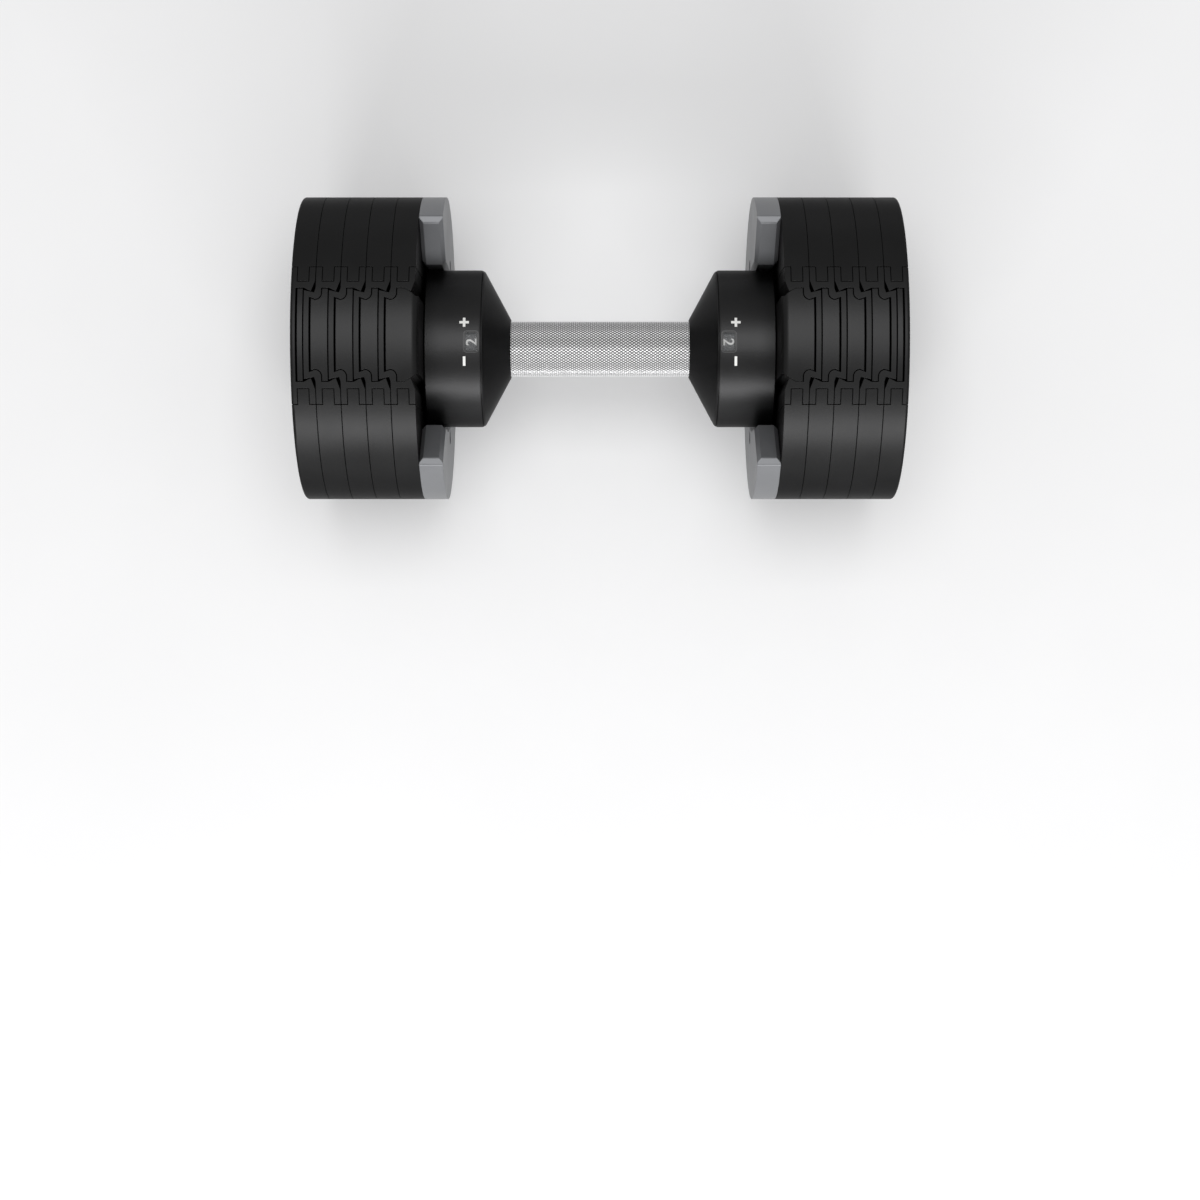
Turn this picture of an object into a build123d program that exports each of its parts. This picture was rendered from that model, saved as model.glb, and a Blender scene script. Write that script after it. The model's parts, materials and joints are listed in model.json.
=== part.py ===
"""Twist-handle adjustable dumbbell, in millimetres.

The bar lies along X, Y is across and Z is up. The origin is the middle of the bar, on its axis. The
dumbbell stands as it is stored: the dial reads its lowest setting, both lock shafts are drawn into the
hubs, and every plate hangs on its inboard neighbour by an upright dovetail. The right end (+X) is
modelled, and the left end is its mirror image.
"""

import math
import os

from build123d import *

os.makedirs("parts", exist_ok=True)

# ---- weight plates -------------------------------------------------------------------------------
PLATE_R = 87.5
PLATE_T = 13.6
PLATE_COUNT = 5  # black plates at each end
PITCH = 13.8  # from one plate to the next
STACK_X = 102.05  # inboard face of the first black plate
RIM_BREAK = 0.15  # chamfer on the rims
END_ROUND = 1.6  # rounding of the outermost rim
RELIEF_DEPTH = 7.5  # weight relief, hidden between the plates
RELIEF_R = (45.0, 79.0)
RELIEF_HALF = 42.0  # the relief keeps this far from the middle, above the bar

# Plans of the dovetail are drawn as (u, v): u runs inboard from a plate's outboard face, v across from
# the middle.
FLANGE_HALF = 37.9  # flanges of the liner, which lie in the disc's faces
FLANGE_T = 3.35
SLOT_HALF = 29.5  # slot through the disc
POCKET_HALF = 26.0  # pocket for the neighbour's tongue
POCKET_U = (3.2, 7.2)  # the pocket's shoulder, and where its sides start to close in
LIP = (11.3, 24.0)  # narrowest point of the pocket's mouth
MOUTH_HALF = 30.0
TONGUE_U = 6.3  # how far the tongue stands out of the plate
TONGUE_HALF = 24.6
NECK = (-0.7, 23.3)
WALL_T = 2.85  # front wall of the tongue
BUMP = (-0.2, 23.0, 3.4)  # centre and radius of the rounded step inside the tongue
TIP_FLARE = 1.2  # how much wider the room inside the tongue is at its front wall
CORE_BACK = 6.85
FIT = 0.1  # gap round pieces that are fitted into each other
SEAM = 0.4  # gap between liner and disc, above the bar
GROOVE = 0.55  # gap between core and liner, above the bar
FRONT_GROOVE = 0.55  # how much wider that gap is in front of the core
FACE_SET_BACK = 0.1  # how far the flanges lie below the disc's faces

# ---- inner plate ---------------------------------------------------------------------------------
INNER_X = (88.55, 102.0)
INNER_SLOT = 46.0  # half width of the slot that takes the hub
INNER_BEVEL = 2.3
CREST = (66.2, 52.0)  # inner corner of the narrow level top
CREST_ROUND = 1.5
FUNNEL_FOOT = (46.0, 25.0)
INNER_SCREWS = [(49.0, -21.0), (-49.0, -21.0), (27.0, -46.0), (-27.0, -46.0)]
M6_HEAD_R = 5.2

# ---- bar -----------------------------------------------------------------------------------------
GRIP_R = (13.6, 16.0)
GRIP_END = 64.0
TUBE_R = (10.3, 13.55)
TUBE_END = 94.0
SHAFT_R = 10.0
SHAFT_FLAT = 8.8  # height of the flats on the lock shaft
SHAFT_X = (4.0, 113.85)  # inner end and tip of the drawn-in lock shaft
SHAFT_NOSE = 1.2
SHAFT_BORE_END = 77.0
KEY_HALF = 5.0
KEY_END = 75.0
PLATE_BORE_R = 10.5
PIN_R = 2.5
PIN_X = 10.0
PIN_REACH = 13.2
SLOT_WIDTH = 5.8
SLOT_SPARE = 15.0  # degrees of slot beyond each end of the pin's travel

SETTINGS = 10  # numbers on the dial
STEP_DEG = 36.0  # handle turn from one number to the next
STEP_TRAVEL = 5.95  # lock shaft travel for one step

# ---- hub -----------------------------------------------------------------------------------------
HUB_R = 45.5
HUB_BORE_R = 42.5
HUB_X = (67.8, 100.15)  # front and end face of the shell
HUB_SEAM = 0.5  # gap between the shell and the cone
END_WALL = 4.5
CONE_TIP = (51.7, 16.9)
CONE_FOOT = (67.1, 45.5)  # where the cone's line meets the shell's
CORNER_ROUND = 3.5  # rounding of that corner, which the seam divides
LIP_R = 43.3  # lip of the shell inside the cone
LIP_X = 66.6
BOSS_R = (17.0, 21.0)
BOSS_X = 81.0
BUSH_R = (13.6, 16.95)
BUSH_FLANGE = (20.0, 1.1)
WINDOW_X = (69.1, 77.1)
WINDOW_HALF = 5.85
WINDOW_CORNER = 1.6
LENS_R = (43.4, 45.35)
HEAD_BACK = 15.5  # depth of the head's back face, from plate 1's outboard face
HEAD_SIDE = ((7.2, 25.7), (10.7, 23.95), (13.6, 21.4))  # start, middle and end of the round side of the head
HEAD_ROUND = 4.5
HEAD_SCREWS = [(15.0, 22.0), (-15.0, 22.0), (15.0, 34.0), (-15.0, 34.0)]
M4_HEAD_R = 3.5

# ---- dial and latch ------------------------------------------------------------------------------
DIAL_R = 41.9
DIAL_RIM_R = 36.6
DIAL_X = (69.3, 77.6)
DIAL_WEB = 3.6
DIAL_HUB_R = 18.0
DIAL_HUB_END = 79.5
NOTCH_R = 40.9
NOTCH_X = 74.1
NOTCH_WIDTH = 6.2
LATCH_X = (79.9, 86.3)
LATCH_HALF = 4.0
LATCH_Z = (-45.2, -31.0)
PAWL_X = 74.6
PAWL_HALF = 2.6
PAWL_Z = (-36.2, -32.0)
SPRING_R = 2.3
SPRING_WIRE = 0.4
SPRING_TURNS = 5.0


# ---- helpers -------------------------------------------------------------------------------------
def write(piece, name):
    """Label a finished piece and write it as one STEP file."""
    piece.label = name
    export_step(piece, f"parts/{name}.step")


def write_both(piece, name):
    """Write a piece of the right end, and its mirror image for the left end."""
    write(piece, f"right_{name}")
    write(mirror(piece, about=Plane.YZ), f"left_{name}")


def outboard_face(number):
    """X of a black plate's outboard face. Plate 1 is the nearest to the grip."""
    return STACK_X + PITCH * (number - 1) + PLATE_T


def turned(profile):
    """Solid of revolution about the bar, from a closed outline of (x, radius) points."""
    with BuildPart() as part:
        with BuildSketch(Plane.XY):
            with BuildLine():
                Polyline(*profile, close=True)
            make_face()
        revolve(axis=Axis.X)
    return part.part


def upright(x_out, plan, above=0.0, below=0.0, trim=True):
    """An upright piece with a round bottom. plan(gap) draws half its outline as (u, v), smaller by the gap."""
    plane = Plane(origin=(x_out, 0, 0), x_dir=(-1, 0, 0), z_dir=(0, 0, 1))
    with BuildPart() as part:
        with BuildSketch(plane):
            with BuildLine():
                plan(below)
            make_face()
        revolve(axis=Axis.X, revolution_arc=180)
        with BuildSketch(plane):
            with BuildLine():
                plan(above)
            half = make_face()
            mirror(half, about=Plane.XZ)
        extrude(amount=PLATE_R + 5)
        if trim:
            with BuildSketch(Plane.YZ.offset(x_out - 2 * PLATE_T)):
                Circle(PLATE_R)
            extrude(amount=3 * PLATE_T, mode=Mode.INTERSECT)
    return part.part


# ---- plans of the dovetail -----------------------------------------------------------------------
def bump_arc(gap):
    """The rounded step inside the tongue, from the pocket's shoulder to the tongue's inner wall."""
    u, v, radius = BUMP
    radius += gap
    middle = radius * math.cos(math.radians(45))
    ThreePointArc((u + radius, v), (u + middle, v - middle), (u, v - radius))


def liner_back():
    """The liner's outline from its web, round the back flange and into the pocket."""
    back = PLATE_T - FACE_SET_BACK
    return [
        (PLATE_T - FLANGE_T, SLOT_HALF),
        (PLATE_T - FLANGE_T, FLANGE_HALF),
        (back, FLANGE_HALF),
        (back, MOUTH_HALF),
        LIP,
        (POCKET_U[1], POCKET_HALF),
    ]


def liner_plan(gap):
    """Liner of plates 1 to 4: tongue in front, flanges against the disc, pocket behind."""
    step_u, step_v, step_r = BUMP
    wall = WALL_T - TONGUE_U
    Polyline(
        (-TONGUE_U, 0),
        (-TONGUE_U, TONGUE_HALF),
        NECK,
        (FACE_SET_BACK, POCKET_HALF),
        (FACE_SET_BACK, FLANGE_HALF),
        (FLANGE_T, FLANGE_HALF),
        (FLANGE_T, SLOT_HALF),
        *liner_back(),
        (POCKET_U[0], POCKET_HALF),
        (POCKET_U[0], step_v),
    )
    bump_arc(gap)
    Polyline((step_u, step_v - step_r), (wall, step_v - step_r + TIP_FLARE), (wall, 0), (-TONGUE_U, 0))


def end_liner_plan(gap):
    """Liner of the outermost plate: a flat front wall in place of the tongue."""
    Polyline(
        (0, 0),
        (0, FLANGE_HALF),
        (FLANGE_T, FLANGE_HALF),
        (FLANGE_T, SLOT_HALF),
        *liner_back(),
        (WALL_T, POCKET_HALF - gap),
        (WALL_T, 0),
        close=True,
    )


def tip_front(gap):
    """Depth of the front of a core, which stands further off the liner above the bar."""
    return WALL_T - TONGUE_U + (gap if gap <= FIT else gap + FRONT_GROOVE)


def tip_plan(gap):
    """Front of a core or of the hub's head, up to the pocket's shoulder."""
    step_u, step_v, step_r = BUMP
    inner_half = step_v - step_r - gap
    flare = TIP_FLARE * (step_u - tip_front(gap)) / (step_u - tip_front(0))
    Polyline((tip_front(gap), 0), (tip_front(gap), inner_half + flare), (step_u, inner_half))
    bump_arc(gap)


def core_plan(gap):
    """Steel core that fills the tongue and backs the pocket."""
    step_u, step_v, step_r = BUMP
    half = POCKET_HALF - gap
    tip_plan(gap)
    Polyline(
        (step_u + step_r + gap, step_v),
        (step_u + step_r + gap, half),
        (CORE_BACK, half),
        (CORE_BACK, 0),
        (tip_front(gap), 0),
    )


def end_core_plan(gap):
    """Steel core of the outermost plate."""
    front = WALL_T + (gap if gap <= FIT else gap + FRONT_GROOVE)
    half = POCKET_HALF - gap
    Polyline((front, 0), (front, half), (CORE_BACK, half), (CORE_BACK, 0), close=True)


def head_plan(gap):
    """Head of the hub, which fills plate 1 the way a core and a tongue fill the other plates."""
    step_u, step_v, step_r = BUMP
    tip_plan(gap)
    Polyline(
        (step_u + step_r + gap, step_v),
        (step_u + step_r + gap, HEAD_SIDE[0][1]),
        HEAD_SIDE[0],
    )
    ThreePointArc(*HEAD_SIDE)
    Polyline(HEAD_SIDE[2], (HEAD_BACK, HEAD_SIDE[2][1]), (HEAD_BACK, 0), (tip_front(gap), 0))


def disc_slot_plan(gap):
    """Room that a disc leaves for its liner."""
    Polyline(
        (-1, 0),
        (-1, FLANGE_HALF - gap),
        (FLANGE_T - gap, FLANGE_HALF - gap),
        (FLANGE_T - gap, SLOT_HALF - gap),
        (PLATE_T - FLANGE_T + gap, SLOT_HALF - gap),
        (PLATE_T - FLANGE_T + gap, FLANGE_HALF - gap),
        (PLATE_T + 1, FLANGE_HALF - gap),
        (PLATE_T + 1, 0),
        close=True,
    )


# ---- weight plates -------------------------------------------------------------------------------
for number in range(1, PLATE_COUNT + 1):
    x_out = outboard_face(number)
    x_in = x_out - PLATE_T
    last = number == PLATE_COUNT

    # The rim of the whole plate, which the outermost liner shares.
    outer_round = END_ROUND if last else RIM_BREAK
    with BuildPart() as blank:
        with BuildSketch(Plane.YZ.offset(x_in)):
            Circle(PLATE_R)
        extrude(amount=PLATE_T)
        chamfer(blank.edges().sort_by(Axis.X)[0], RIM_BREAK)
        if last:
            fillet(blank.edges().sort_by(Axis.X)[-1], outer_round)
        else:
            chamfer(blank.edges().sort_by(Axis.X)[-1], outer_round)

    # A negative gap makes the slot larger than the liner.
    slot_tool = upright(x_out, disc_slot_plan, -SEAM, -FIT, trim=False)
    relief_x = x_in if last else x_out - RELIEF_DEPTH
    with BuildPart() as disc:
        add(blank.part)
        add(slot_tool, mode=Mode.SUBTRACT)
        with BuildSketch(Plane.YZ.offset(relief_x)):
            Circle(RELIEF_R[1])
            Circle(RELIEF_R[0], mode=Mode.SUBTRACT)
            with Locations((0, PLATE_R / 2)):
                Rectangle(2 * RELIEF_HALF, PLATE_R, mode=Mode.SUBTRACT)
        extrude(amount=RELIEF_DEPTH, mode=Mode.SUBTRACT)
        if number == 1:
            with BuildSketch(Plane.YZ.offset(x_in)):
                with Locations(*INNER_SCREWS):
                    Circle(3.1)
            extrude(amount=PLATE_T - RELIEF_DEPTH, mode=Mode.SUBTRACT)
    write_both(disc.part, f"plate_{number}_disc")

    liner_blank = upright(x_out, end_liner_plan if last else liner_plan)
    with BuildPart() as liner:
        add(liner_blank)
        if last:
            add(blank.part, mode=Mode.INTERSECT)
        else:
            with BuildSketch(Plane.YZ.offset(x_out)):
                Circle(PLATE_BORE_R)
            extrude(amount=TONGUE_U + 1, mode=Mode.SUBTRACT)
    write_both(liner.part, f"plate_{number}_liner")

    # The hub's head takes the place of the core in plate 1.
    if number > 1:
        core_blank = upright(x_out, end_core_plan if last else core_plan, GROOVE, FIT)
        with BuildPart() as core:
            add(core_blank)
            with BuildSketch(Plane.YZ.offset(x_out - PLATE_T)):
                Circle(PLATE_BORE_R)
            extrude(amount=2 * PLATE_T, mode=Mode.SUBTRACT)
        write_both(core.part, f"plate_{number}_core")

# ---- inner plate ---------------------------------------------------------------------------------
outside = PLATE_R + 10
shoulder_y = math.sqrt(PLATE_R**2 - CREST[1] ** 2)  # where the level top meets the rim
with BuildPart() as inner_plate:
    with BuildSketch(Plane.YZ.offset(INNER_X[0])):
        Circle(PLATE_R)
        Circle(INNER_SLOT, mode=Mode.SUBTRACT)
        with BuildLine():
            Polyline(
                (0, 0),
                (INNER_SLOT, 0),
                FUNNEL_FOOT,
                CREST,
                (outside, CREST[1]),
                (outside, outside),
                (0, outside),
                close=True,
            )
        notch = make_face(mode=Mode.PRIVATE)
        add(notch, mode=Mode.SUBTRACT)
        mirror(notch, about=Plane.YZ, mode=Mode.SUBTRACT)
    extrude(amount=INNER_X[1] - INNER_X[0])
    face_edges = inner_plate.edges().filter_by(
        lambda e: abs(e.center().X - INNER_X[0]) < 0.01 or abs(e.center().X - INNER_X[1]) < 0.01
    )
    rim_edges = face_edges.filter_by(lambda e: abs((e @ 0.5).Y ** 2 + (e @ 0.5).Z ** 2 - PLATE_R**2) < 1)
    chamfer(rim_edges, RIM_BREAK)
    notch_edges = inner_plate.edges().filter_by(
        lambda e: (abs((e @ 0.5).X - INNER_X[0]) < 0.01 or abs((e @ 0.5).X - INNER_X[1]) < 0.01)
        and (e @ 0.5).Y ** 2 + (e @ 0.5).Z ** 2 < (PLATE_R - 2) ** 2
        and abs((e @ 0.5).Y) < CREST[0] - 1
    )
    chamfer(notch_edges, INNER_BEVEL)
    for corner in (CREST, (shoulder_y, CREST[1])):
        corner_edges = inner_plate.edges().filter_by(Axis.X).filter_by(
            lambda e: math.dist((abs((e @ 0.5).Y), (e @ 0.5).Z), corner) < 0.2
        )
        fillet(corner_edges, CREST_ROUND)
    with BuildSketch(Plane.YZ.offset(INNER_X[0])):
        with Locations(*INNER_SCREWS):
            Circle(M6_HEAD_R + 0.3)
    extrude(amount=4.5, mode=Mode.SUBTRACT)
    with BuildSketch(Plane.YZ.offset(INNER_X[0])):
        with Locations(*INNER_SCREWS):
            Circle(3.1)
    extrude(amount=INNER_X[1] - INNER_X[0], mode=Mode.SUBTRACT)
write_both(inner_plate.part, "inner_plate")

with BuildPart() as inner_plate_screws:
    with BuildSketch(Plane.YZ.offset(INNER_X[0] + 0.5)):
        with Locations(*INNER_SCREWS):
            Circle(M6_HEAD_R)
    extrude(amount=4)
    with BuildSketch(Plane.YZ.offset(INNER_X[0] + 4.5)):
        with Locations(*INNER_SCREWS):
            Circle(3.0)
    extrude(amount=15)
    with BuildSketch(Plane.YZ.offset(INNER_X[0] + 0.5)):
        with Locations(*INNER_SCREWS):
            RegularPolygon(2.9, 6)
    extrude(amount=2.4, mode=Mode.SUBTRACT)
write_both(inner_plate_screws.part, "inner_plate_screws")

# ---- hub -----------------------------------------------------------------------------------------
wall_x = HUB_X[1] - END_WALL
shell_blank = turned(
    [
        (LIP_X, HUB_BORE_R),
        (LIP_X, LIP_R),
        (HUB_X[0], LIP_R),
        (HUB_X[0], HUB_R),
        (HUB_X[1] - 0.8, HUB_R),
        (HUB_X[1], HUB_R - 0.8),
        (HUB_X[1], PLATE_BORE_R),
        (wall_x, PLATE_BORE_R),
        (wall_x, BOSS_R[0]),
        (BOSS_X, BOSS_R[0]),
        (BOSS_X, BOSS_R[1]),
        (wall_x, BOSS_R[1]),
        (wall_x, HUB_BORE_R),
    ]
)
window_middle = sum(WINDOW_X) / 2
window_length = WINDOW_X[1] - WINDOW_X[0]
latch_middle = sum(LATCH_X) / 2
latch_length = LATCH_X[1] - LATCH_X[0]
with BuildPart() as hub_outside:
    add(turned([(CONE_TIP[0], 0), CONE_TIP, CONE_FOOT, (HUB_X[1], HUB_R), (HUB_X[1], 0)]))
    fillet(hub_outside.edges().filter_by(lambda e: abs((e @ 0.5).X - CONE_FOOT[0]) < 0.01), CORNER_ROUND)
with BuildPart() as hub_shell:
    add(shell_blank)
    add(hub_outside.part, mode=Mode.INTERSECT)
    with BuildSketch():
        with Locations((window_middle, 0)):
            RectangleRounded(window_length, 2 * WINDOW_HALF, WINDOW_CORNER)
    extrude(amount=HUB_R + 5, mode=Mode.SUBTRACT)
    with BuildSketch(Plane.XY.offset(-HUB_R - 5)):
        with Locations((latch_middle, 0)):
            RectangleRounded(latch_length + 0.6, 2 * LATCH_HALF + 0.6, 1.3)
    extrude(amount=15, mode=Mode.SUBTRACT)
    with BuildSketch(Plane.YZ.offset(wall_x - 1)):
        with Locations(*HEAD_SCREWS):
            Circle(2.1)
    extrude(amount=END_WALL + 2, mode=Mode.SUBTRACT)
write_both(hub_shell.part, "hub_shell")

cone_blank = turned(
    [
        (CONE_TIP[0], GRIP_R[1] + 0.4),
        CONE_TIP,
        CONE_FOOT,
        (HUB_X[0] - HUB_SEAM, HUB_R),
        (HUB_X[0] - HUB_SEAM, LIP_R + 0.15),
        (LIP_X - 0.1, LIP_R + 0.15),
        (LIP_X - 0.1, 39.4),
        (57.0, 20.6),
        (57.0, GRIP_R[1] + 0.4),
    ]
)
with BuildPart() as hub_cone:
    add(cone_blank)
    add(hub_outside.part, mode=Mode.INTERSECT)
write_both(hub_cone.part, "hub_cone")

head_blank = upright(outboard_face(1), head_plan, GROOVE, GROOVE)
with BuildPart() as hub_head:
    add(head_blank)
    top_back = hub_head.edges().filter_by(lambda e: abs((e @ 0.5).X - HUB_X[1]) < 0.01).sort_by(Axis.Z)[-1]
    fillet(top_back, HEAD_ROUND)
    with BuildSketch(Plane.YZ.offset(HUB_X[1])):
        Circle(SHAFT_R + 0.3)
        Rectangle(2 * SHAFT_R + 1, 2 * SHAFT_FLAT + 0.6, mode=Mode.INTERSECT)
    extrude(amount=PLATE_T + 10, mode=Mode.SUBTRACT)
    with BuildSketch(Plane.YZ.offset(HUB_X[1])):
        with Locations(*HEAD_SCREWS):
            Circle(2.1)
    extrude(amount=12, mode=Mode.SUBTRACT)
write_both(hub_head.part, "hub_head")

with BuildPart() as head_screws:
    with BuildSketch(Plane.YZ.offset(wall_x - 3)):
        with Locations(*HEAD_SCREWS):
            Circle(M4_HEAD_R)
    extrude(amount=3)
    with BuildSketch(Plane.YZ.offset(wall_x)):
        with Locations(*HEAD_SCREWS):
            Circle(2.0)
    extrude(amount=END_WALL + 11)
    with BuildSketch(Plane.YZ.offset(wall_x - 3)):
        with Locations(*HEAD_SCREWS):
            RegularPolygon(1.7, 6)
    extrude(amount=1.8, mode=Mode.SUBTRACT)
write_both(head_screws.part, "head_screws")

with BuildPart() as window_lens:
    with BuildSketch(Plane.YZ.offset(WINDOW_X[0])):
        Circle(LENS_R[1])
        Circle(LENS_R[0], mode=Mode.SUBTRACT)
    extrude(amount=window_length)
    with BuildSketch():
        with Locations((window_middle, 0)):
            RectangleRounded(window_length - 0.1, 2 * WINDOW_HALF - 0.1, WINDOW_CORNER - 0.05)
    extrude(amount=HUB_R + 5, mode=Mode.INTERSECT)
write_both(window_lens.part, "window_lens")

bearing_bush = turned(
    [
        (BOSS_X - 0.05 - BUSH_FLANGE[1], BUSH_R[0]),
        (BOSS_X - 0.05 - BUSH_FLANGE[1], BUSH_FLANGE[0]),
        (BOSS_X - 0.05, BUSH_FLANGE[0]),
        (BOSS_X - 0.05, BUSH_R[1]),
        (wall_x - 0.6, BUSH_R[1]),
        (wall_x - 0.6, BUSH_R[0]),
    ]
)
write_both(bearing_bush, "bearing_bush")

# ---- bar -----------------------------------------------------------------------------------------
with BuildPart() as grip_sleeve:
    with BuildSketch(Plane.YZ):
        Circle(GRIP_R[1])
        Circle(GRIP_R[0], mode=Mode.SUBTRACT)
    extrude(amount=GRIP_END, both=True)
    end_edges = grip_sleeve.edges().filter_by(
        lambda e: abs(abs((e @ 0.5).X) - GRIP_END) < 0.01 and e.radius > GRIP_R[0] + 1
    )
    chamfer(end_edges, 0.6)
write(grip_sleeve.part, "grip_sleeve")

# Each slot is a helix that draws its pin outwards as the tube turns, and starts a little before the pin.
lead = STEP_TRAVEL * 360 / STEP_DEG
slot_turn = STEP_DEG * (SETTINGS - 1) + 2 * SLOT_SPARE
slot_start = PIN_X - lead * SLOT_SPARE / 360
slot_mean_r = sum(TUBE_R) / 2
with BuildPart() as slot_cut:
    with BuildLine() as slot_path:
        Helix(lead, lead * slot_turn / 360, slot_mean_r, center=(slot_start, 0, 0), direction=(1, 0, 0))
    start = slot_path.line @ 0
    radial = (start - Vector(slot_start, 0, 0)).normalized()
    with BuildSketch(Plane(origin=start, x_dir=radial, z_dir=slot_path.line % 0)):
        Rectangle(TUBE_R[1] - TUBE_R[0] + 3, SLOT_WIDTH)
    sweep(path=slot_path.line, is_frenet=True)
start_angle = math.degrees(math.atan2(-radial.Y, radial.Z))
right_slot = slot_cut.part.rotate(Axis.X, -SLOT_SPARE - start_angle)
left_slot = mirror(right_slot, about=Plane.YZ)
with BuildPart() as drive_tube:
    with BuildSketch(Plane.YZ):
        Circle(TUBE_R[1])
        Circle(TUBE_R[0], mode=Mode.SUBTRACT)
    extrude(amount=TUBE_END, both=True)
    add(right_slot, mode=Mode.SUBTRACT)
    add(left_slot, mode=Mode.SUBTRACT)
write(drive_tube.part, "drive_tube")

with BuildPart() as key_bar:
    with BuildSketch(Plane.YZ):
        Rectangle(2 * KEY_HALF, 2 * KEY_HALF)
    extrude(amount=KEY_END, both=True)
    chamfer(key_bar.edges().filter_by(Axis.X), 0.5)
write(key_bar.part, "key_bar")

shaft_blank = turned(
    [
        (SHAFT_X[0], 0),
        (SHAFT_X[0], SHAFT_R),
        (SHAFT_X[1] - SHAFT_NOSE, SHAFT_R),
        (SHAFT_X[1], SHAFT_R - SHAFT_NOSE),
        (SHAFT_X[1], 0),
    ]
)
with BuildPart() as lock_shaft:
    add(shaft_blank)
    with BuildSketch(Plane.YZ.offset(SHAFT_X[0])):
        Rectangle(2 * SHAFT_R + 1, 2 * SHAFT_FLAT)
    extrude(amount=SHAFT_X[1] - SHAFT_X[0], mode=Mode.INTERSECT)
    with BuildSketch(Plane.YZ.offset(SHAFT_X[0])):
        Rectangle(2 * KEY_HALF + 0.2, 2 * KEY_HALF + 0.2)
    extrude(amount=SHAFT_BORE_END - SHAFT_X[0], mode=Mode.SUBTRACT)
    with BuildSketch(Plane.XY):
        with Locations((PIN_X, 0)):
            Circle(PIN_R)
    extrude(amount=SHAFT_R, mode=Mode.SUBTRACT)
write_both(lock_shaft.part, "lock_shaft")

with BuildPart() as drive_pin:
    with BuildSketch(Plane.XY.offset(KEY_HALF + 0.2)):
        with Locations((PIN_X, 0)):
            Circle(PIN_R)
    extrude(amount=PIN_REACH - KEY_HALF - 0.2)
    chamfer(drive_pin.edges().sort_by(Axis.Z)[-1], 0.3)
write_both(drive_pin.part, "drive_pin")

# ---- dial and latch ------------------------------------------------------------------------------
dial_blank = turned(
    [
        (DIAL_X[0], TUBE_R[1] + 0.05),
        (DIAL_X[0], DIAL_R),
        (DIAL_X[1], DIAL_R),
        (DIAL_X[1], DIAL_RIM_R),
        (DIAL_X[0] + DIAL_WEB, DIAL_RIM_R),
        (DIAL_X[0] + DIAL_WEB, DIAL_HUB_R),
        (DIAL_HUB_END, DIAL_HUB_R),
        (DIAL_HUB_END, TUBE_R[1] + 0.05),
    ]
)
with BuildPart() as number_dial:
    add(dial_blank)
    with BuildSketch(Plane.YZ.offset(NOTCH_X)):
        with PolarLocations(DIAL_RIM_R, SETTINGS, start_angle=-90):
            Rectangle(2 * (NOTCH_R - DIAL_RIM_R), NOTCH_WIDTH)
    extrude(amount=DIAL_X[1] - NOTCH_X, mode=Mode.SUBTRACT)
write_both(number_dial.part, "number_dial")

with BuildPart() as lock_button:
    with BuildSketch(Plane.XY.offset(LATCH_Z[0])):
        with Locations((latch_middle, 0)):
            RectangleRounded(latch_length, 2 * LATCH_HALF, 1.0)
    extrude(amount=LATCH_Z[1] - LATCH_Z[0])
    fillet(lock_button.faces().sort_by(Axis.Z)[0].edges(), 0.8)
    with BuildSketch(Plane.XY.offset(PAWL_Z[0])):
        with Locations(((PAWL_X + latch_middle) / 2, 0)):
            Rectangle(latch_middle - PAWL_X, 2 * PAWL_HALF)
    extrude(amount=PAWL_Z[1] - PAWL_Z[0])
write_both(lock_button.part, "lock_button")

spring_low = LATCH_Z[1] + SPRING_WIRE + 0.05
spring_high = -BOSS_R[1] - SPRING_WIRE - 0.15
spring_height = spring_high - spring_low
with BuildPart() as button_spring:
    with BuildLine() as coil:
        Helix(spring_height / SPRING_TURNS, spring_height, SPRING_R, center=(latch_middle, 0, spring_low))
    with BuildSketch(Plane(origin=coil.line @ 0, z_dir=coil.line % 0)):
        Circle(SPRING_WIRE)
    sweep(path=coil.line, is_frenet=True)
write_both(button_spring.part, "button_spring")
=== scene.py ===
"""Looks for the twist-handle adjustable dumbbell: materials, knurled grip, print, floor, light, camera."""

import json
import math

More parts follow.
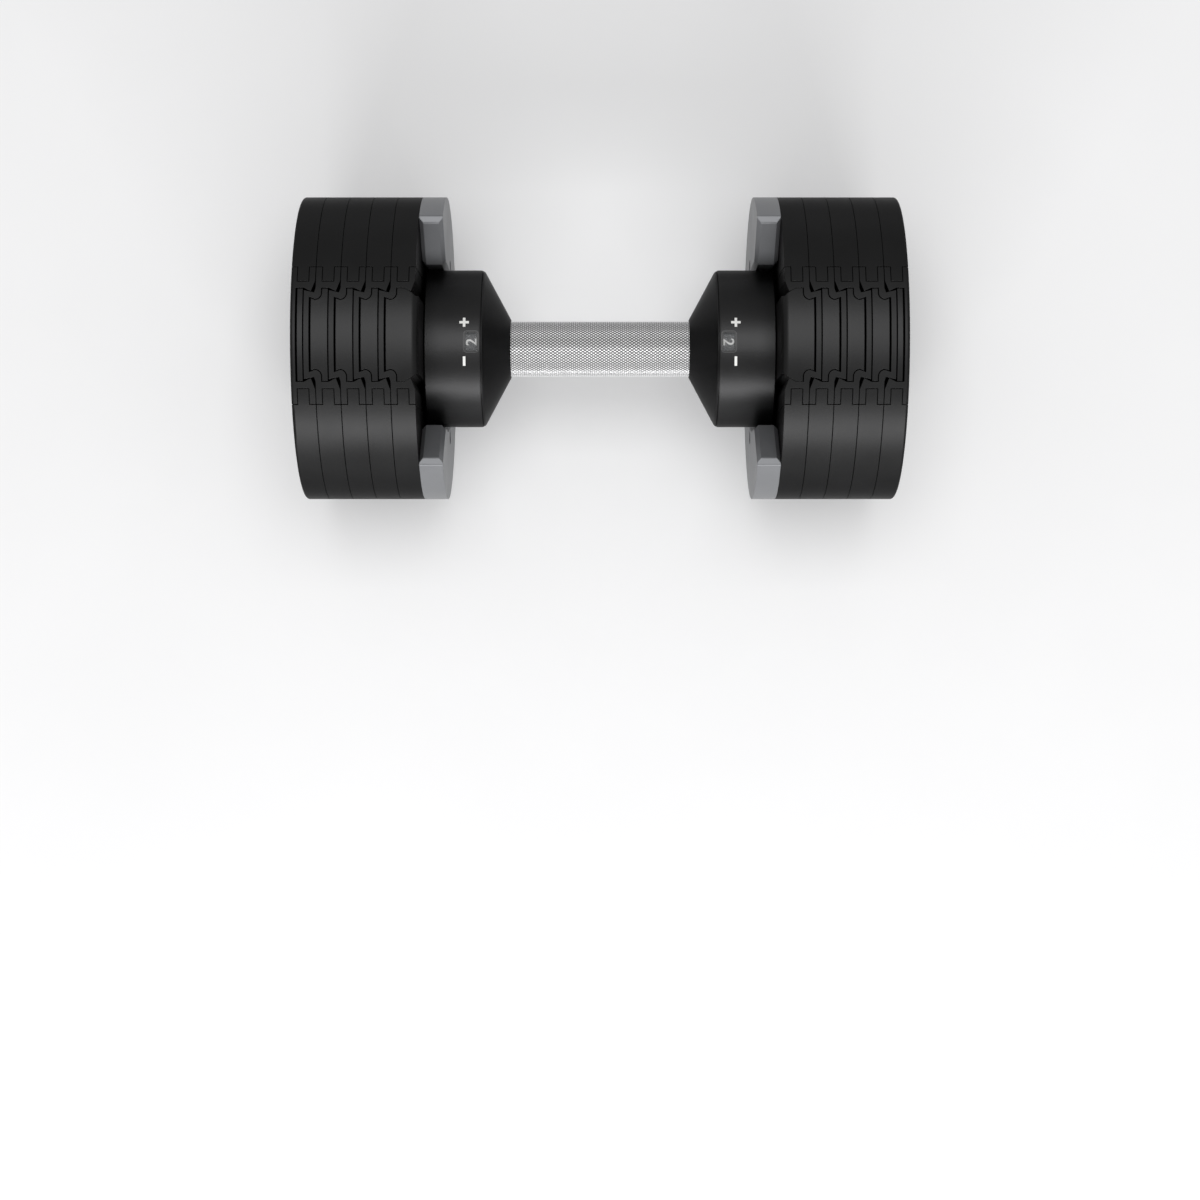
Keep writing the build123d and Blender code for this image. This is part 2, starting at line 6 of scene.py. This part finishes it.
import bmesh
import bpy
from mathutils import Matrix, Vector


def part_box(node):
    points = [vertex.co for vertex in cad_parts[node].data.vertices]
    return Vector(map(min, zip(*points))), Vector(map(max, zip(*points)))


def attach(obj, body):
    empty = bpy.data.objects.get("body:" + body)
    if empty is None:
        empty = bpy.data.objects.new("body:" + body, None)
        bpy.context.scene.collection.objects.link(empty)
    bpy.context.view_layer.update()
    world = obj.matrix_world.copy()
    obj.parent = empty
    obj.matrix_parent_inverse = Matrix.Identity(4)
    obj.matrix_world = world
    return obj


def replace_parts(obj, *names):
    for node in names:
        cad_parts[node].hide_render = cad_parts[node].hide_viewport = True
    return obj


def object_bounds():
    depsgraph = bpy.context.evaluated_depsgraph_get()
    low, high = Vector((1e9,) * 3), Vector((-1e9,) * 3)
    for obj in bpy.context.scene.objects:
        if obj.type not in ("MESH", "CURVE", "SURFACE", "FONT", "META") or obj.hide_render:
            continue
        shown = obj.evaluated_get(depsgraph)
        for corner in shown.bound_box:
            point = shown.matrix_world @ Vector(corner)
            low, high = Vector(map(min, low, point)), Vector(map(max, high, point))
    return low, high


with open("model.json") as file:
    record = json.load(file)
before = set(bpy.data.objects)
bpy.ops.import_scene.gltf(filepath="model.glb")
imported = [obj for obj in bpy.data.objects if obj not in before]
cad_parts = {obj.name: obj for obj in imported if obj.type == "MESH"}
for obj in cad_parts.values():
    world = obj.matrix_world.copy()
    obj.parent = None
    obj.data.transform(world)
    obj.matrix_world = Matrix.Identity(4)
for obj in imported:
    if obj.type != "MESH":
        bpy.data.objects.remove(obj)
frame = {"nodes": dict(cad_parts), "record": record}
cad_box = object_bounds()

MM = 0.001
SIDES = {"left": -1, "right": 1}

# ---- sizes read from the frame -------------------------------------------------------------------
lens_low, lens_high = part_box("right_window_lens")
grip_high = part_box("grip_sleeve")[1]

FLOOR_Z = cad_box[0][2]
SHELL_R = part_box("right_hub_shell")[1].z
DIAL_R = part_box("right_number_dial")[1].z
LENS_TOP = lens_high.z
GRIP_R = grip_high.z
GRIP_END = grip_high.x
WINDOW_X = (lens_low.x + lens_high.x) / 2
WINDOW_LENGTH = lens_high.x - lens_low.x
WINDOW_WIDTH = lens_high.y - lens_low.y

# ---- printed marks, with the painted shade and painted highlight round the window ----------------
SETTINGS = 10
STEP = math.radians(36)
LOWEST = 2
DIGIT_HEIGHT = 6.2 * MM
INK = 0.03 * MM  # how far print stands off the surface below it
SIGN_LENGTH = 5.4 * MM
SIGN_STROKE = 1.45 * MM
SIGN_X = WINDOW_X + 3.9 * MM
SIGN_ANGLE = math.radians(14)
PRINT_STEP = 0.6 * MM  # print is cut this fine, so that it follows the round surface
GAP_SHADOW_WIDTH = 0.65 * MM  # painted shade: a dark band just inside the window's edge, standing in for the shadow in the gap round the lens
GAP_SHADOW_CORNER = 1.5 * MM
HIGHLIGHT_GAP = 0.15 * MM  # from the window's edge to the thin painted highlight line outside it, which stands for the light on the hole's edge
HIGHLIGHT_WIDTH = 0.35 * MM
HIGHLIGHT_CORNER = 2.1 * MM
CORNER_STEPS = 6

# ---- knurl ---------------------------------------------------------------------------------------
KNURL_AROUND = 1.69 * MM  # from one diamond to the next, round the grip
KNURL_ALONG = 2.46 * MM
KNURL_DEPTH = 0.32 * MM
KNURL_END = GRIP_END - 6 * MM
KNURL_STEPS = 4  # mesh steps from one diamond to the next
KNURL_SLOPE = 2.6  # rise of a groove's side, in knurl depths over one groove spacing
GRIP_BORE = 13.6 * MM
GRIP_CHAMFER = 0.6 * MM

# ---- camera --------------------------------------------------------------------------------------
CAMERA = Vector((0, -146.4 * MM, 1546 * MM))
SENSOR = 36.0
VIEW_WIDTH = 700 * MM  # what the frame takes in at the height of the bar


# ---- materials -----------------------------------------------------------------------------------
def new_material(name):
    """An empty material with its Principled shader and object coordinates."""
    mat = bpy.data.materials.new(name)
    mat.use_nodes = True
    nodes = mat.node_tree.nodes
    coords = nodes.new("ShaderNodeTexCoord")
    return mat, mat.node_tree, nodes["Principled BSDF"], coords.outputs["Object"]


def noise(tree, coords, scale, detail=4.0, rough=0.5):
    """A noise texture on the object's own coordinates."""
    node = tree.nodes.new("ShaderNodeTexNoise")
    node.inputs["Scale"].default_value = scale
    node.inputs["Detail"].default_value = detail
    node.inputs["Roughness"].default_value = rough
    tree.links.new(coords, node.inputs["Vector"])
    return node.outputs["Fac"]


def spread(tree, value, low, high, start=0.3, end=0.7):
    """Maps a texture value onto a range of numbers."""
    node = tree.nodes.new("ShaderNodeMapRange")
    node.inputs["From Min"].default_value = start
    node.inputs["From Max"].default_value = end
    node.inputs["To Min"].default_value = low
    node.inputs["To Max"].default_value = high
    tree.links.new(value, node.inputs["Value"])
    return node.outputs["Result"]


def tint(tree, value, low, high):
    """Mixes two colours by a texture value."""
    node = tree.nodes.new("ShaderNodeMix")
    node.data_type = "RGBA"
    node.inputs["A"].default_value = (*low, 1)
    node.inputs["B"].default_value = (*high, 1)
    tree.links.new(value, node.inputs["Factor"])
    return node.outputs["Result"]


def bump(tree, shader, height, distance, strength=1.0, edge=0.0):
    """Adds a height to the shader's normal, on top of edges that look rounded by the edge radius."""
    node = tree.nodes.new("ShaderNodeBump")
    if edge:
        soft = tree.nodes.new("ShaderNodeBevel")
        soft.samples = 4
        soft.inputs["Radius"].default_value = edge
        tree.links.new(soft.outputs["Normal"], node.inputs["Normal"])
    node.inputs["Strength"].default_value = strength
    node.inputs["Distance"].default_value = distance
    tree.links.new(height, node.inputs["Height"])
    tree.links.new(node.outputs["Normal"], shader.inputs["Normal"])


def coated(name, dark, light, roughness, grain, depth, patch=28.0, edge=0.0, metallic=0.0, rim=1.0):
    """Painted, coated or moulded surface: fine grain in the bump, slow patches in the colour and the gloss.

    A metallic one is a dark oxide finish, and rim is how much of its gloss is left at grazing angles.
    """
    mat, tree, shader, coords = new_material(name)
    patches = noise(tree, coords, patch, detail=5.0, rough=0.6)
    fine = noise(tree, coords, grain, detail=2.0)
    tree.links.new(tint(tree, spread(tree, patches, 0, 1), dark, light), shader.inputs["Base Color"])
    tree.links.new(spread(tree, patches, *roughness), shader.inputs["Roughness"])
    shader.inputs["Metallic"].default_value = metallic
    shader.inputs["Specular Tint"].default_value = (rim, rim, rim, 1)
    bump(tree, shader, fine, depth, edge=edge)
    return mat


def turned_steel(name, dark, light, roughness):
    """Machined steel, with fine tool marks round the bar's axis."""
    mat, tree, shader, coords = new_material(name)
    stretch = tree.nodes.new("ShaderNodeMapping")
    stretch.inputs["Scale"].default_value = (14, 1, 1)
    tree.links.new(coords, stretch.inputs["Vector"])
    marks = noise(tree, stretch.outputs["Vector"], 300.0, detail=3.0, rough=0.6)
    patches = noise(tree, coords, 45.0)
    tree.links.new(tint(tree, spread(tree, patches, 0, 1), dark, light), shader.inputs["Base Color"])
    tree.links.new(spread(tree, marks, *roughness), shader.inputs["Roughness"])
    shader.inputs["Metallic"].default_value = 1.0
    bump(tree, shader, marks, 0.02 * MM)
    return mat


def knurled_steel():
    """Bright plated steel whose colour is painted near black at the bottom of the knurl, as shade in the
    grooves; it is rougher there too.
    """
    mat, tree, shader, coords = new_material("knurled_steel")
    split = tree.nodes.new("ShaderNodeSeparateXYZ")
    flat = tree.nodes.new("ShaderNodeCombineXYZ")
    radius = tree.nodes.new("ShaderNodeVectorMath")
    radius.operation = "LENGTH"
    tree.links.new(coords, split.inputs["Vector"])
    tree.links.new(split.outputs["Y"], flat.inputs["Y"])
    tree.links.new(split.outputs["Z"], flat.inputs["Z"])
    tree.links.new(flat.outputs["Vector"], radius.inputs[0])
    # painted shade: below this radius the groove's colour goes to near black
    painted_shade_below = GRIP_R - 0.80 * KNURL_DEPTH
    bright_above = GRIP_R - 0.40 * KNURL_DEPTH
    height = spread(tree, radius.outputs["Value"], 0, 1, painted_shade_below, bright_above)
    # painted shade in the knurl's grooves: near black at the groove bottom, bright steel on the tops
    tree.links.new(tint(tree, height, (0.03, 0.03, 0.035), (0.97, 0.97, 0.97)), shader.inputs["Base Color"])
    tree.links.new(spread(tree, height, 0.60, 0.30, 0, 1), shader.inputs["Roughness"])
    shader.inputs["Metallic"].default_value = 0.6
    shader.inputs["Specular Tint"].default_value = (0.30, 0.30, 0.36, 1)
    bump(tree, shader, noise(tree, coords, 2600.0, detail=2.0), 0.02 * MM, strength=0.6)
    return mat


def clear_plastic():
    """Clear window: mostly see-through, with a hard gloss and faint scuffs."""
    mat, tree, shader, coords = new_material("window_clear")
    scuffs = noise(tree, coords, 900.0, rough=0.7)
    tree.links.new(spread(tree, scuffs, 0.05, 0.16), shader.inputs["Roughness"])
    shader.inputs["Base Color"].default_value = (0.5, 0.52, 0.54, 1)
    shader.inputs["Alpha"].default_value = 0.07
    shader.inputs["IOR"].default_value = 1.49
    return mat


SOFT_EDGE = 0.35 * MM
BLACK_OXIDE = {"edge": SOFT_EDGE, "metallic": 1.0, "rim": 0.5}
looks = {
    "black_steel": coated(
        "black_steel", (0.0250, 0.0250, 0.0252), (0.0290, 0.0290, 0.0293),
        roughness=(0.38, 0.45), grain=1400.0, depth=0.03 * MM, **BLACK_OXIDE,
    ),
    "liner_plastic": coated(
        "liner_plastic", (0.0265, 0.0265, 0.0268), (0.0305, 0.0305, 0.0308),
        roughness=(0.40, 0.48), grain=2200.0, depth=0.04 * MM, **BLACK_OXIDE,
    ),
    "core_steel": coated(
        "core_steel", (0.0275, 0.0275, 0.0278), (0.0315, 0.0315, 0.0318),
        roughness=(0.36, 0.43), grain=1100.0, depth=0.03 * MM, **BLACK_OXIDE,
    ),
    "grey_steel": coated(
        "grey_steel", (0.175, 0.179, 0.188), (0.200, 0.204, 0.213),
        roughness=(0.34, 0.44), grain=1200.0, depth=0.03 * MM, edge=1.5 * SOFT_EDGE, metallic=0.35, rim=0.6,
    ),
    "hub_plastic": coated(
        "hub_plastic", (0.0320, 0.0320, 0.0325), (0.0370, 0.0370, 0.0376),
        roughness=(0.36, 0.43), grain=1700.0, depth=0.05 * MM, **BLACK_OXIDE,
    ),
    "button_plastic": coated(
        "button_plastic", (0.018, 0.018, 0.019), (0.026, 0.026, 0.027),
        roughness=(0.30, 0.40), grain=1500.0, depth=0.02 * MM, edge=SOFT_EDGE,
    ),
    "screw_steel": turned_steel("screw_steel", (0.20, 0.20, 0.205), (0.30, 0.30, 0.31), (0.30, 0.45)),
    "bar_steel": turned_steel("bar_steel", (0.42, 0.42, 0.43), (0.55, 0.55, 0.56), (0.22, 0.36)),
    "bush_bronze": turned_steel("bush_bronze", (0.40, 0.24, 0.10), (0.55, 0.36, 0.17), (0.28, 0.42)),
    "window_clear": clear_plastic(),
    "knurled_steel": knurled_steel(),
}
print_white = coated(
    "print_white", (0.82, 0.82, 0.80), (0.88, 0.88, 0.86),
    roughness=(0.45, 0.60), grain=3000.0, depth=0.01 * MM, patch=200.0,
)
# painted shade: near-black colour for the band inside the window's edge, where the gap round the lens is in
# shadow
painted_gap_shadow = coated(
    "painted_gap_shadow", (0.004, 0.004, 0.004), (0.007, 0.007, 0.007),
    roughness=(0.30, 0.40), grain=2500.0, depth=0.01 * MM,
)
# painted highlight: grey a little lighter than the hub, for the light on the window hole's edge
painted_edge_highlight = coated(
    "painted_edge_highlight", (0.045, 0.045, 0.047), (0.060, 0.060, 0.062),
    roughness=(0.35, 0.45), grain=2500.0, depth=0.01 * MM,
)
floor_white = coated(
    "floor_white", (0.86, 0.86, 0.865), (0.88, 0.88, 0.885),
    roughness=(0.65, 0.75), grain=400.0, depth=0.01 * MM, patch=6.0,
)

slots = {entry["node"]: entry["material_slot"] for entry in frame["record"]["subparts"]}
for node, obj in frame["nodes"].items():
    for place in obj.material_slots:
        place.material = looks[slots[node]]


# ---- pieces --------------------------------------------------------------------------------------
def add_piece(name, bm, material, body, smooth=True):
    """Turns a bmesh into an object that rides on a body."""
    mesh = bpy.data.meshes.new(name)
    bm.to_mesh(mesh)
    bm.free()
    mesh.materials.append(material)
    for face in mesh.polygons:
        face.use_smooth = smooth
    piece = bpy.data.objects.new(name, mesh)
    bpy.context.scene.collection.objects.link(piece)
    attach(piece, body)
    return piece


def knurled_grip():
    """The grip as a closed tube with a diamond knurl, which is cut in by two crossed sets of grooves."""
    around = KNURL_STEPS * round(2 * math.pi * GRIP_R / KNURL_AROUND)
    along = KNURL_STEPS * round(2 * KNURL_END / KNURL_ALONG)
    plain_r = GRIP_R - 0.5 * KNURL_DEPTH
    bm = bmesh.new()

    def groove(value):
        """Height across one set of grooves: 0 in the groove, 1 on the flat top."""
        return min(1.0, KNURL_SLOPE * abs(value - round(value)))

    def knurl_r(i, j):
        """Radius of the knurl at a step round the grip and a row along it."""
        top = min(groove((i + j) / KNURL_STEPS), groove((i - j) / KNURL_STEPS))
        return GRIP_R - KNURL_DEPTH * (1 - top)

    def loop(x, radius_at):
        """One ring of vertices round the grip."""
        points = []
        for i in range(around):
            angle = 2 * math.pi * i / around
            radius = radius_at(i)
            points.append(bm.verts.new((x, radius * math.cos(angle), radius * math.sin(angle))))
        return points

    def bridge(first, second, row):
        """Triangles between two rings, cut along alternate diagonals so that the ridges stay sharp."""
        for i in range(around):
            k = (i + 1) % around
            corners = first[i], first[k], second[k], second[i]
            if (i - row) % 2 == 0:
                bm.faces.new((corners[0], corners[1], corners[2]))
                bm.faces.new((corners[0], corners[2], corners[3]))
            else:
                bm.faces.new((corners[0], corners[1], corners[3]))
                bm.faces.new((corners[1], corners[2], corners[3]))

    rows = []
    for j in range(along + 1):
        x = -KNURL_END + 2 * KNURL_END * j / along
        if j in (0, along):
            rows.append(loop(x, lambda i: plain_r))
        else:
            rows.append(loop(x, lambda i: knurl_r(i, j)))
    for j in range(along):
        bridge(rows[j], rows[j + 1], j)
    ends = []
    for side in (-1, 1):
        ends.append(
            [
                loop(side * (GRIP_END - GRIP_CHAMFER), lambda i: plain_r),
                loop(side * GRIP_END, lambda i: plain_r - GRIP_CHAMFER),
                loop(side * GRIP_END, lambda i: GRIP_BORE),
            ]
        )
    left_end, right_end = ends
    chains = [*reversed(left_end), rows[0]], [rows[-1], *right_end, left_end[-1]]
    for chain in chains:
        for first, second in zip(chain, chain[1:]):
            bridge(first, second, 0)
    bmesh.ops.recalc_face_normals(bm, faces=bm.faces)
    return add_piece("grip_knurled", bm, looks["knurled_steel"], "grip", smooth=False)


def wrap(bm, side, x_mid, radius, angle):
    """Bends flat print onto the round surface. The print's x runs along its line of text, and y is up."""
    sign = SIDES[side]
    for vert in bm.verts:
        turn = angle + sign * vert.co.x / radius
        x = sign * (x_mid + vert.co.y)
        vert.co = (x, -radius * math.sin(turn), radius * math.cos(turn))


def cut_fine(bm):
    """Cuts flat print across its line of text, so that it can bend."""
    left = min(v.co.x for v in bm.verts)
    right = max(v.co.x for v in bm.verts)
    cut = left + PRINT_STEP
    while cut < right:
        everything = list(bm.verts) + list(bm.edges) + list(bm.faces)
        bmesh.ops.bisect_plane(bm, geom=everything, plane_co=(cut, 0, 0), plane_no=(1, 0, 0))
        cut += PRINT_STEP


def number_mesh(text):
    """Flat mesh of a number, centred on its own middle, at the dial's digit height."""
    curve = bpy.data.curves.new("number_shape", "FONT")
    curve.body = text
    curve.size = 1.0
    curve.offset = 0.012
    curve.resolution_u = 8
    holder = bpy.data.objects.new("number_shape", curve)
    bpy.context.scene.collection.objects.link(holder)
    bpy.context.view_layer.update()
    mesh = bpy.data.meshes.new_from_object(holder.evaluated_get(bpy.context.evaluated_depsgraph_get()))
    bm = bmesh.new()
    bm.from_mesh(mesh)
    bpy.data.objects.remove(holder)
    bpy.data.curves.remove(curve)
    bpy.data.meshes.remove(mesh)
    low = Vector(min(v.co[i] for v in bm.verts) for i in range(3))
    high = Vector(max(v.co[i] for v in bm.verts) for i in range(3))
    scale = DIGIT_HEIGHT / (high.y - low.y)
    for vert in bm.verts:
        vert.co = (vert.co - (low + high) / 2) * scale
    return bm


def sign_mesh(crossed):
    """Flat plus or minus sign, made of one rectangle or three."""
    bm = bmesh.new()
    a, b = SIGN_LENGTH / 2, SIGN_STROKE / 2
    bars = [(-a, -b, a, b)]
    if crossed:
        bars += [(-b, b, b, a), (-b, -a, b, -b)]
    for x0, y0, x1, y1 in bars:
        bm.faces.new([bm.verts.new((x, y, 0)) for x, y in ((x0, y0), (x1, y0), (x1, y1), (x0, y1))])
    return bm


def frame_mesh(gap, width, corner):
    """Flat rounded ring of a given width, whose inner edge is a gap outside the window's edge.

    The window's width runs along the line of text, and its length along the bar.
    """
    bm = bmesh.new()
    loops = []
    for grow, radius in ((gap, corner - width), (gap + width, corner)):
        size = WINDOW_WIDTH + 2 * grow, WINDOW_LENGTH + 2 * grow
        points = []
        for quarter, (sx, sy) in enumerate(((1, 1), (-1, 1), (-1, -1), (1, -1))):
            centre = sx * (size[0] / 2 - radius), sy * (size[1] / 2 - radius)
            for k in range(CORNER_STEPS + 1):
                angle = math.pi / 2 * (quarter + k / CORNER_STEPS)
                points.append((centre[0] + radius * math.cos(angle), centre[1] + radius * math.sin(angle), 0))
        loops.append([bm.verts.new(p) for p in points])
    count = len(loops[0])
    for i in range(count):
        k = (i + 1) % count
        bm.faces.new((loops[0][i], loops[1][i], loops[1][k], loops[0][k]))
    return bm


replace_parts(knurled_grip(), "grip_sleeve")

for side in SIDES:
    for step in range(SETTINGS):
        number = number_mesh(str(LOWEST * (step + 1)))
        cut_fine(number)
        wrap(number, side, WINDOW_X, DIAL_R + INK, step * STEP)
        add_piece(f"{side}_dial_number_{step + 1}", number, print_white, "grip")
    for name, crossed, angle in (("plus", True, -SIGN_ANGLE), ("minus", False, SIGN_ANGLE)):
        sign = sign_mesh(crossed)
        cut_fine(sign)
        wrap(sign, side, SIGN_X, SHELL_R + INK, angle)
        add_piece(f"{side}_{name}_mark", sign, print_white, "handle_frame")
    # painted shade round the lens, just inside the window's edge
    gap_shadow_band = frame_mesh(-GAP_SHADOW_WIDTH, GAP_SHADOW_WIDTH, GAP_SHADOW_CORNER)
    cut_fine(gap_shadow_band)
    wrap(gap_shadow_band, side, WINDOW_X, LENS_TOP + INK, 0)
    add_piece(f"{side}_window_gap_shadow", gap_shadow_band, painted_gap_shadow, "handle_frame")
    # painted highlight: a thin lighter line just outside the window's edge
    rim = frame_mesh(HIGHLIGHT_GAP, HIGHLIGHT_WIDTH, HIGHLIGHT_CORNER)
    cut_fine(rim)
    wrap(rim, side, WINDOW_X, SHELL_R + INK / 2, 0)
    add_piece(f"{side}_window_edge_highlight", rim, painted_edge_highlight, "handle_frame")

# ---- floor ---------------------------------------------------------------------------------------
FLOOR_HALF = 3.0
floor_mesh = bpy.data.meshes.new("floor")
quadrants = (-1, -1), (1, -1), (1, 1), (-1, 1)
floor_corners = [(sx * FLOOR_HALF, sy * FLOOR_HALF, FLOOR_Z) for sx, sy in quadrants]
floor_mesh.from_pydata(floor_corners, [], [(0, 1, 2, 3)])
floor_mesh.materials.append(floor_white)
floor = bpy.data.objects.new("floor", floor_mesh)
bpy.context.scene.collection.objects.link(floor)


# ---- light ---------------------------------------------------------------------------------------
def area_light(name, place, size, power):
    """A soft box that faces the middle of the object."""
    data = bpy.data.lights.new(name, "AREA")
    data.shape = "RECTANGLE"
    data.size, data.size_y = size
    data.energy = power
    light = bpy.data.objects.new(name, data)
    light.location = place
    light.rotation_euler = (Vector() - Vector(place)).to_track_quat("-Z", "Y").to_euler()
    bpy.context.scene.collection.objects.link(light)


area_light("overhead", place=(0, 0.38, 2.6), size=(1.5, 1.5), power=25)
area_light("front", place=(0, -1.9, 0.85), size=(2.0, 0.6), power=31)

world = bpy.data.worlds.new("studio")
world.use_nodes = True
world.node_tree.nodes["Background"].inputs["Color"].default_value = (1, 1, 1, 1)
world.node_tree.nodes["Background"].inputs["Strength"].default_value = 0.50
bpy.context.scene.world = world
bpy.context.scene.view_settings.view_transform = "Standard"

# ---- camera --------------------------------------------------------------------------------------
camera_data = bpy.data.cameras.new("camera")
camera_data.sensor_width = SENSOR
camera_data.lens = SENSOR * CAMERA.z / VIEW_WIDTH
camera_data.clip_end = 20
camera = bpy.data.objects.new("camera", camera_data)
camera.location = CAMERA
bpy.context.scene.collection.objects.link(camera)
bpy.context.scene.camera = camera
